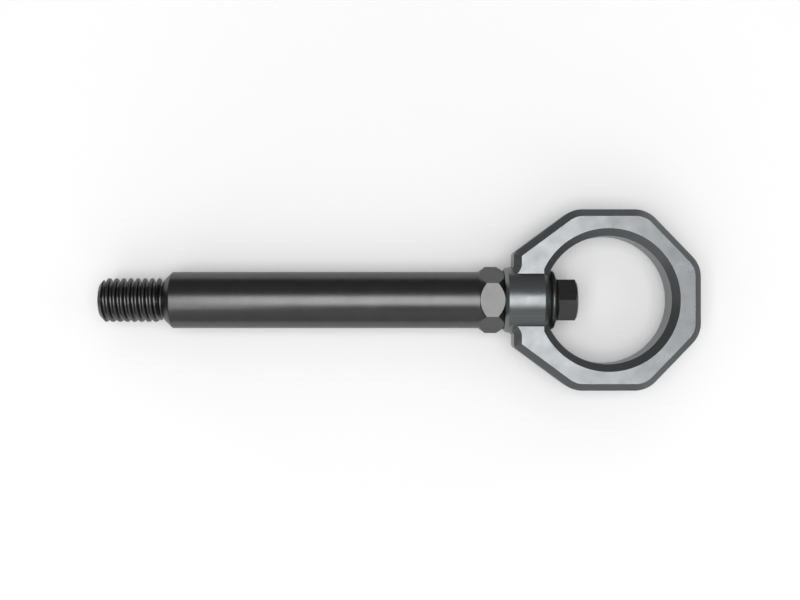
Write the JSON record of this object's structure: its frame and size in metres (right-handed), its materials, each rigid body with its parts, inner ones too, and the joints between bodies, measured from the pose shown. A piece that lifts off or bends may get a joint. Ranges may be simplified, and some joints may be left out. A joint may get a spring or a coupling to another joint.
{
  "type": "tow eye",
  "caption": "Screw-in tow eye for a car: round threaded shaft with a hex collar, and a flat chamfered eye clamped on its end by a flange bolt, so that the eye can be turned.",
  "frame": {"origin": "on the shaft's axis, where the thread ends and its relief groove starts", "axes": "+X along the shaft from the thread to the eye, +Z square to the eye's flat faces, Y across the eye"},
  "size_m": [0.2644, 0.0796, 0.0298],
  "materials": {
    "black_steel": "satin black coating on turned steel",
    "satin_steel": "satin machined steel with a faint cloudy grain",
    "bolt_black": "black phosphated steel"
  },
  "bodies": {
    "shaft": {"shaft": "black_steel", "bolt": "bolt_black"},
    "eye": {"eye": "satin_steel"}
  },
  "joints": [
    {"name": "eye_swivel", "type": "hinge", "parent": "shaft", "child": "eye", "pos_m": [0.1515, 0, 0], "axis": [1, 0, 0], "continuous": true}
  ]
}
